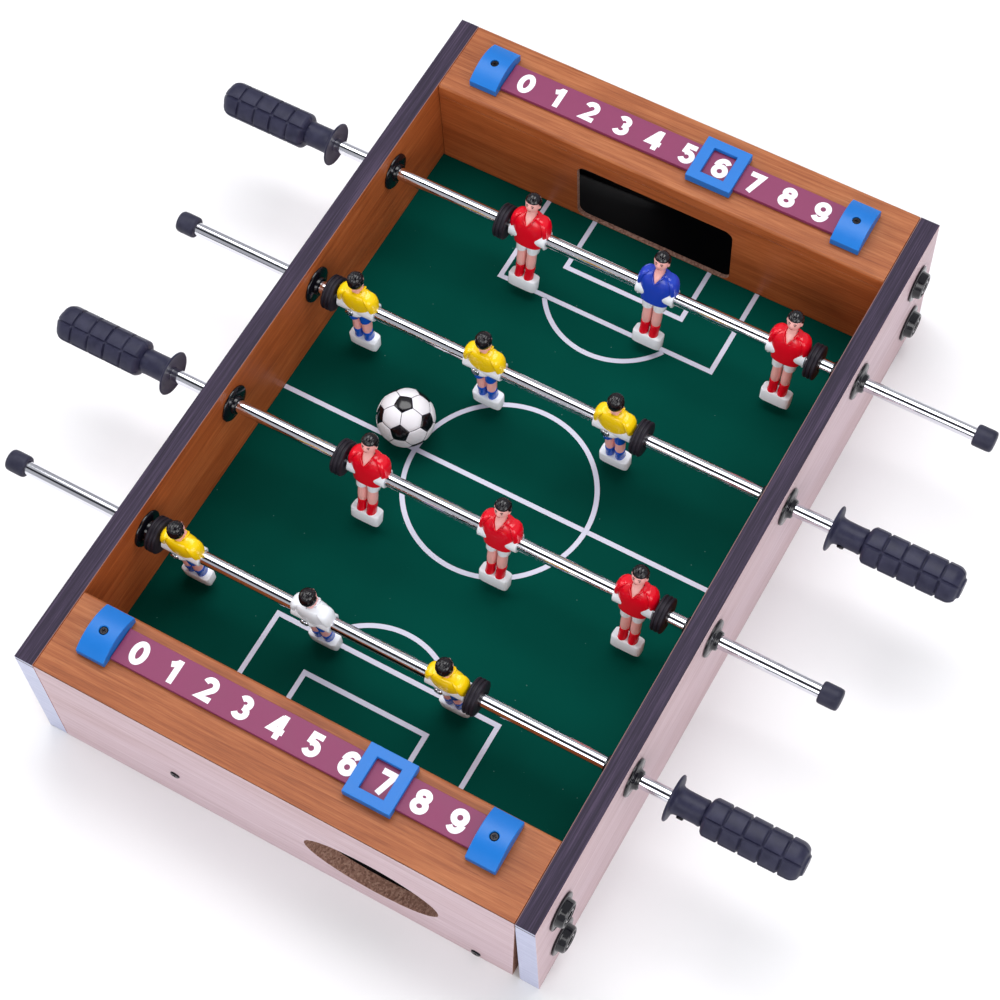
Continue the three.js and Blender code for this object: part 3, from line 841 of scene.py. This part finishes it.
def rounded_step(value, edge):
    """0 at a pad's edge, 1 over its middle. value is the distance in from the edge, in mm."""
    t = min(1, max(0, (value - 0.4) / edge))
    return math.sin(t * math.pi / 2) ** 0.8 if t > 0 else 0


def grip_radius(s, angle):
    """The grip's radius at s mm from its flange's inner face."""
    shoulder = min(1, max(0, (s - GRIP_START) / 3.2))
    base = GRIP_RADIUS - (1 - math.sin(shoulder * math.pi / 2)) * 3.2
    if s > DOME_START:
        t = (s - DOME_START) / (GRIP_LENGTH - DOME_START)
        base = GRIP_RADIUS * math.sqrt(max(0.0, 1 - t ** 2.2 * 0.86))
    row_length = (GRIP_LENGTH - 1.5 - GRIP_START) / GRIP_ROWS
    row = ((s - GRIP_START) % row_length)
    column_width = 2 * math.pi * GRIP_RADIUS / GRIP_COLUMNS
    column = (angle / (2 * math.pi) * GRIP_COLUMNS % 1) * column_width
    in_row = min(row, row_length - row)
    in_column = min(column, column_width - column)
    pad = rounded_step(in_row, 0.6) * rounded_step(in_column, 0.6)
    flat = 1 - PAD_FLATNESS * math.sin(math.pi * column / column_width)
    return base * flat - PAD_HEIGHT * (1 - pad)


def grip_mesh(shape, turn):
    flange = [(0.5, 4.2), (0.8, 6), (0.4, 11.8), (0.1, 13.2), (0.6, 13.6), (1.2, 13.4), (1.7, 12.4),
              (2.2, 10), (2.8, 8.5), (4, 7.9), (6.5, 7.6), (12, 7.5), (16, 7.5), (18.6, 7.7)]
    around = 144
    columns = []
    s = GRIP_START
    while s < GRIP_LENGTH - 0.05:
        columns.append(s)
        s += 0.45
    points = []
    for along, radius in flange:
        for i in range(around):
            a = 2 * math.pi * i / around
            points.append((along, radius * math.cos(a), radius * math.sin(a)))
    for along in columns:
        for i in range(around):
            a = 2 * math.pi * i / around
            radius = grip_radius(along, a)
            points.append((along, radius * math.cos(a), radius * math.sin(a)))
    rows = len(flange) + len(columns)
    faces = [f[::-1] for f in ring_faces(rows, around)]
    inner = len(points)
    for i in range(around):
        a = 2 * math.pi * i / around
        points.append((12, 4.2 * math.cos(a), 4.2 * math.sin(a)))
    for i in range(around):
        j = (i + 1) % around
        faces.append((i, j, inner + j, inner + i))
    faces.append(tuple(inner + i for i in range(around)))
    faces.append(tuple((rows - 1) * around + i for i in range(around)))
    shape.add(points, faces, "rubber", turn)
    spot = (SET_SCREW_ALONG, *(NECK_RADIUS * v for v in SET_SCREW_SIDE))
    cross_screw(shape, turn @ facing((0, *SET_SCREW_SIDE), spot), radius=2.1, height=2)


def along_rod(side, place):
    """Points of a turned form run along +X from 0; this puts them on the rod, to either side."""
    flip = Matrix.Rotation(math.pi, 4, "Z") if side < 0 else Matrix.Identity(4)
    return Matrix.Translation(place) @ flip


def at_end(node, y):
    """The place of a handle or cap, from the side of the rod that its CAD node is on."""
    low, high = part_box(node)
    side = 1 if low.x > 0 else -1
    start = (low.x if side > 0 else high.x) / MM
    return along_rod(side, (start, y, ROD_Z))


for rod in RODS:
    y = middle_of(f"{rod}_bumper_left").y
    for side, side_name in ((-1, "left"), (1, "right")):
        place = along_rod(side, (side * SIDE_BOARD_X, y, ROD_Z))
        bushing = turned(Shape(), BUSHING, "gloss_black", 48, place)
        bushing.piece(f"{rod}_bushing_{side_name}_finish", "table", [f"{rod}_bushing_{side_name}"],
                      "black_plastic", sharp=50)
        node = f"{rod}_bumper_{side_name}"
        place = Matrix.Translation((middle_of(node).x, y, ROD_Z))
        ring = turned(Shape(), BUMPER, "bumper", 48, place)
        ring.piece(f"{node}_finish", f"{rod}_slide_body", [node], "black_rubber", sharp=60)

    low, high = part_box(f"{rod}_rod")
    tube = [(low.x / MM, 3), (low.x / MM, 3.7), (low.x / MM + 0.3, 4), (high.x / MM - 0.3, 4),
            (high.x / MM, 3.7), (high.x / MM, 3), (low.x / MM, 3)]
    body = f"{rod}_rod_body"
    turned(Shape(), tube, "chrome", 48, Matrix.Translation((0, y, ROD_Z))).piece(
        f"{rod}_rod_finish", body, [f"{rod}_rod"], "chrome")

    grip = Shape()
    grip_mesh(grip, at_end(f"{rod}_handle", y))
    grip.piece(f"{rod}_handle_finish", body, [f"{rod}_handle"], "black_rubber", sharp=50)

    turned(Shape(), CAP, "cap", 40, at_end(f"{rod}_end_cap", y)).piece(
        f"{rod}_end_cap_finish", body, [f"{rod}_end_cap"], "black_rubber", sharp=40)

# ---------------------------------------------------------------- players

def leg(form, side, shorts, socks):
    x = side * 3.2
    loft(form, [(x, -0.6, -35.4, 2.9, 3.9), (x, -0.3, -33.4, 2.9, 3.6), (x, 0, -30.2, 2.8, 3.2),
                (x, 0.1, -27.6, 3, 3.5), (x, 0.1, -26.6, 2.9, 3.4), (x, 0.1, -26.3, 2.5, 2.8)], socks)
    loft(form, [(x, 0.1, -27, 2.5, 2.7), (x, 0, -24.6, 2.9, 3.5), (x, -0.2, -21.5, 3, 3.7),
                (x, -0.3, -17.5, 2.9, 3.5), (x, -0.1, -12, 3.2, 3.9)], "skin")
    x = side * 3.7
    loft(form, [(x, 0, -13.4, 3.3, 4.1), (x, 0, -13.1, 3.7, 4.6), (x, 0, -9.5, 3.9, 4.9),
                (x, 0, -4, 4.2, 5)], shorts)


def arm(form, side, shirt):
    """A forearm beside the hips over the rod's boss, and the sleeve that hangs over it."""
    x = side * 10.9
    loft(form, [(x, 0.2, -7.2, 0.7, 1.6), (x, 0.2, -6.6, 1.3, 2.6), (x, 0.3, -3.4, 1.6, 3.4),
                (x, 0.3, 0.5, 1.7, 3.8), (x, 0.2, 4.5, 1.7, 3.6)], "white")
    sleeve = [(10.9, 2.2, 1.7, 3.5), (10.9, 2.5, 2.1, 4.2), (10.6, 5.5, 2.4, 4.8), (10, 9, 2.6, 5.1),
              (9, 12, 2.7, 4.9), (7.5, 14, 2.6, 4.2), (6.1, 15.2, 1.8, 3)]
    loft(form, [(side * x, 0, z, wide, deep) for x, z, wide, deep in sleeve], shirt, 24)


def player_shape(shirt, shorts, socks):
    """A moulded player with the rod's axis through the origin, facing -Y."""
    form = Shape()
    # Foot block with chamfered corners
    foot = [(0, 0, -43.8, 8.8, 3.6), (0, 0, -43.5, 9.3, 4.1), (0, -0.2, -35.4, 9.3, 4.6),
            (0, -0.2, -34.9, 8.9, 4.2)]
    loft(form, foot, "white", 28, power=5)
    for side in (-1, 1):
        leg(form, side, shorts, socks)
        arm(form, side, shirt)
    boss = [(-12.3, 4.3), (-12.3, 5.2), (-11.9, 5.7), (11.9, 5.7), (12.3, 5.2), (12.3, 4.3),
            (-12.3, 4.3)]
    turned(form, boss, "white", 32)
    # The white back of the boss, where the shirt's hem arches over the screw
    ball(form, (1.5, 2.2, -3), (6.6, 4.5, 4.9), "white", across=32, along=20)
    # Shirt body, with its hem arched at the back
    torso = loft(Shape(), [(0, -0.4, -7.3, 8, 5), (0, -0.4, -7, 9, 5.5), (0, -0.4, -4, 9.7, 5.8),
                (0, -0.4, 0, 10.2, 6), (0, -0.5, 4, 10.6, 6.2), (0, -0.6, 8, 10.7, 6.3),
                (0, -0.4, 11, 10.2, 5.9), (0, -0.1, 13.4, 8.8, 5.2), (0, 0.1, 15.1, 6.6, 4.3),
                (0, 0.1, 16.1, 4.2, 3.4)], shirt, 36, power=2.5)
    for point in torso.points:
        if point.z < 0 < point.y:
            point.z *= 1 - 0.85 * min(1, point.y / 4.6)
    form.join(torso, Matrix.Identity(4))
    # Chest and neck inside the open collar
    neck = [(0, -4.1, 10, 0.3, 2.5), (0, -3.8, 11.4, 1, 2.8), (0, -3.2, 13, 1.9, 3),
            (0, -2.4, 14.6, 2.7, 3.2), (0, -1.2, 16.2, 3, 3.4), (0, -0.8, 18, 2.7, 3.1),
            (0, -0.8, 20.5, 2.7, 3)]
    loft(form, neck, "skin", 24, power=2.6)
    # Raised collar edge
    for side in (-1, 1):
        path = [(side * 0.2, -6.7, 9.8), (side * 1.4, -6.5, 11.4), (side * 2.5, -5.9, 13.1),
                (side * 3.3, -4.9, 14.7), (side * 3.7, -3, 16), (side * 3.5, -0.5, 16.6), (0, 2.8, 16.3)]
        tube(form, path, 0.55, shirt)
    form.join(head(), Matrix.Translation(HEAD_CENTRE) @ Matrix.Scale(HEAD_SHRINK, 4))
    return form


def tube(shape, path, radius, look, around=8):
    """A round cord through points."""
    points = []
    for i, spot in enumerate(path):
        here = Vector(spot)
        before = Vector(path[max(0, i - 1)])
        after = Vector(path[min(len(path) - 1, i + 1)])
        ahead = (after - before).normalized()
        side = ahead.orthogonal().normalized()
        up = ahead.cross(side)
        for k in range(around):
            a = 2 * math.pi * k / around
            points.append(here + (side * math.cos(a) + up * math.sin(a)) * radius)
    faces = ring_faces(len(path), around)
    faces.append(tuple(reversed(range(around))))
    faces.append(tuple((len(path) - 1) * around + k for k in range(around)))
    shape.add(points, faces, look)


HEAD_CENTRE = (0, -1.4, 24.7)
HEAD_SHRINK = 0.84
HEAD_SIZE = (5.2, 5.8, 6.8)  # before the shrink, as are the other sizes of the head


def lump(unit, towards, width, height):
    """A smooth bump on a ball in one direction."""
    gap = unit.angle(Vector(towards))
    return height * math.exp(-(gap / width) ** 2)


def head_swell(unit):
    swell = 1 + lump(unit, (0, -1, -0.12), 0.24, 0.14)
    swell += lump(unit, (0, -0.8, -0.85), 0.4, 0.05)
    swell += lump(unit, (0.55, -1, 0.28), 0.3, 0.02) + lump(unit, (-0.55, -1, 0.28), 0.3, 0.02)
    swell -= lump(unit, (0.42, -1, 0.06), 0.2, 0.04) + lump(unit, (-0.42, -1, 0.06), 0.2, 0.04)
    return swell


def hair_swell(unit):
    """Combed streaks that run back over the head."""
    around = math.atan2(unit.x, unit.z)
    streaks = 0.022 * math.sin(around * 22) + 0.012 * math.sin(around * 37 + 4 * unit.y)
    return 1 + streaks * min(1, max(0, unit.z + 0.7))


def head():
    """A generic doll's head round the origin."""
    form = Shape()
    ball(form, (0, 0, 0), HEAD_SIZE, "skin", across=40, along=28, swell=head_swell)
    for side in (-1, 1):
        ball(form, (side * 5.2, 0.3, -0.6), (0.8, 1.3, 1.8), "skin", across=12, along=8)
        ball(form, (side * 2, -5.15, 0.5), (0.75, 0.35, 0.4), "hair", across=12, along=8)
        tube(form, [(side * 1, -5.4, 1.6), (side * 2, -5.35, 1.95), (side * 3, -4.9, 1.7)], 0.24, "hair", 6)
    tube(form, [(-1.2, -5.2, -3.1), (0, -5.55, -3.25), (1.2, -5.2, -3.1)], 0.26, "lips", 6)
    # Hair: a swollen cap, cut off below a sloping hairline
    cap = Shape()
    ball(cap, (0, 0.5, 1), (5.9, 6.3, 7), "hair", across=72, along=36, swell=hair_swell)
    keep = [face for face in cap.faces
            if all(above_hairline(cap.points[i]) for i in face)]
    form.add(cap.points, keep, "hair")
    return form


def above_hairline(point):
    """The hairline is high over the brow, and slopes down behind the ears to the nape."""
    brow, slope, nape = 3.2, 9, -5.6
    back = point.y / 6
    hairline = brow if back < -0.45 else brow - (back + 0.45) * slope
    return point.z > max(hairline, nape)


KITS = {
    "red": ("red", "white", "red"),
    "red_goalkeeper": ("royal", "white", "red"),
    "yellow": ("yellow", "sky", "sky"),
    "yellow_goalkeeper": ("white", "sky", "sky"),
}
PLAYER_SLOTS = {
    "red": "red_player",
    "red_goalkeeper": "blue_shirt_player",
    "yellow": "yellow_player",
    "yellow_goalkeeper": "white_shirt_player",
}
BACK_SCREW = (3, 6.2, -2)
TILTS = {"red_keeper": -14.3, "yellow_forward": 1.3, "red_forward": -12.6, "yellow_keeper": 6.3}
PLAYERS = {
    "red_keeper": ("red_defender_left", "red_goalkeeper", "red_defender_right"),
    "yellow_forward": ("yellow_forward_left", "yellow_forward_middle", "yellow_forward_right"),
    "red_forward": ("red_forward_left", "red_forward_middle", "red_forward_right"),
    "yellow_keeper": ("yellow_defender_left", "yellow_goalkeeper", "yellow_defender_right"),
}

for rod, names in PLAYERS.items():
    for name in names:
        kit = name if name in KITS else name.split("_")[0]
        low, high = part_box(name)
        rod_low, rod_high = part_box(f"{rod}_rod")
        centre = ((low.x + high.x) / 2, (rod_low.y + rod_high.y) / 2, ROD_Z * MM)
        turn = Matrix.Rotation(math.radians(TILTS[rod]), 4, "X")
        if name.startswith("yellow"):
            turn = turn @ Matrix.Rotation(math.pi, 4, "Z")
        figure = player_shape(*KITS[kit])
        cross_screw(figure, facing((0, 1, 0), BACK_SCREW), radius=2.7, height=1.3, look="steel")
        figure.piece(f"{name}_figure", f"{rod}_rod_body", [name], PLAYER_SLOTS[kit],
                     place=Matrix.Translation(centre) @ turn, sharp=50)

# ---------------------------------------------------------------- ball

BALL_RADIUS = 17.5
PANEL_STEPS = 8
PANEL_SHARE = 0.965  # of the way from a panel's middle to its edge
GROOVE_START = 0.85  # where a panel begins to dip towards its edge
GROOVE_DIP = 0.012  # of the ball's radius
CORE_SHARE = 0.985  # of the ball's radius, for the dark ball under the panels


def football(centre, radius):
    """Twelve black five-sided panels and twenty white six-sided ones, with a groove between them."""
    form = bmesh.new()
    bmesh.ops.create_icosphere(form, subdivisions=1, radius=1)
    edge = next(iter(form.edges)).calc_length()
    bmesh.ops.bevel(form, geom=form.verts[:], offset=edge / 3, offset_type="OFFSET", segments=1,
                    affect="VERTICES", profile=0.5)
    shape = Shape()
    for face in form.faces:
        corners = [v.co.copy() for v in face.verts]
        middle = sum(corners, Vector()) / len(corners)
        look = "hair" if len(corners) == 5 else "digit"
        for k, corner in enumerate(corners):
            following = corners[(k + 1) % len(corners)]
            points = []
            index = {}
            for i in range(PANEL_STEPS + 1):
                for j in range(i + 1):
                    share = i / PANEL_STEPS
                    across = j / i if i else 0
                    edge_point = corner.lerp(following, across)
                    spot = middle.lerp(edge_point, share * PANEL_SHARE)
                    dip = GROOVE_DIP * max(0, share - GROOVE_START) / (1 - GROOVE_START)
                    index[i, j] = len(points)
                    points.append(Vector(centre) + spot.normalized() * radius * (1 - dip))
            faces = []
            for i in range(PANEL_STEPS):
                for j in range(i + 1):
                    faces.append((index[i, j], index[i + 1, j], index[i + 1, j + 1]))
                    if j < i:
                        faces.append((index[i, j], index[i + 1, j + 1], index[i, j + 1]))
            shape.add(points, faces, look)
    form.free()
    ball(shape, centre, (radius * CORE_SHARE,) * 3, "cap", across=48, along=32)
    return shape


football(middle_of("ball"), BALL_RADIUS).piece("ball_finish", "ball", ["ball"], "white_plastic", sharp=40)

low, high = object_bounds()
